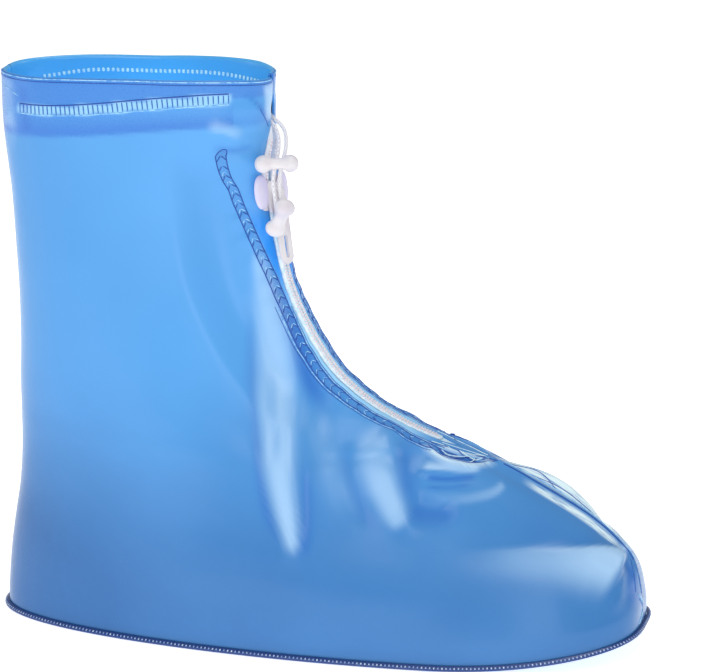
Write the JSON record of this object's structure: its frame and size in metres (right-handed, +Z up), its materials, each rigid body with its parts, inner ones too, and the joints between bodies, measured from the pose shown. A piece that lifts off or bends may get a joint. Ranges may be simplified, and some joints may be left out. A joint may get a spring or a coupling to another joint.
{
  "type": "shoe cover",
  "caption": "Ankle-high waterproof shoe cover of blue translucent film with a welded flat sole, a front zip with a slider and pull, and a drawstring collar with toggles.",
  "frame": {"origin": "on the floor, under the middle of the bounding box of the standing cover", "axes": "+X towards the toe, +Y towards the cover's left side, +Z up"},
  "size_m": [0.3, 0.1132, 0.2502],
  "materials": {
    "blue_vinyl": "soft translucent film, satin to glossy",
    "sole_vinyl": "soft film, satin",
    "welt_vinyl": "welded rim, satin",
    "zip_tape": "clear coated tape, glossy",
    "zip_nylon": "white moulded coil, satin",
    "white_plastic": "white moulded plastic, satin",
    "white_cord": "braided cord, matte"
  },
  "bodies": {
    "cover": {"sole": "sole_vinyl", "sole_welt": "welt_vinyl", "side_panel_right": "blue_vinyl", "side_panel_left": "blue_vinyl", "zip_tape_right": "zip_tape", "zip_tape_left": "zip_tape", "zip_coil_right": "zip_nylon", "zip_coil_left": "zip_nylon", "zip_slider": "white_plastic", "drawstring": "white_cord", "drawstring_tail_right": "white_cord", "drawstring_tail_left": "white_cord", "cord_toggle_upper": "white_plastic", "cord_toggle_lower": "white_plastic"},
    "pull": {"zip_pull": "white_plastic"}
  },
  "joints": [
    {"name": "pull_hinge", "type": "hinge", "parent": "cover", "child": "pull", "pos_m": [-0.01617, -0.01005, 0.19788], "axis": [-0.4384, -0.8988, 0], "range_deg": [0, 90]}
  ]
}
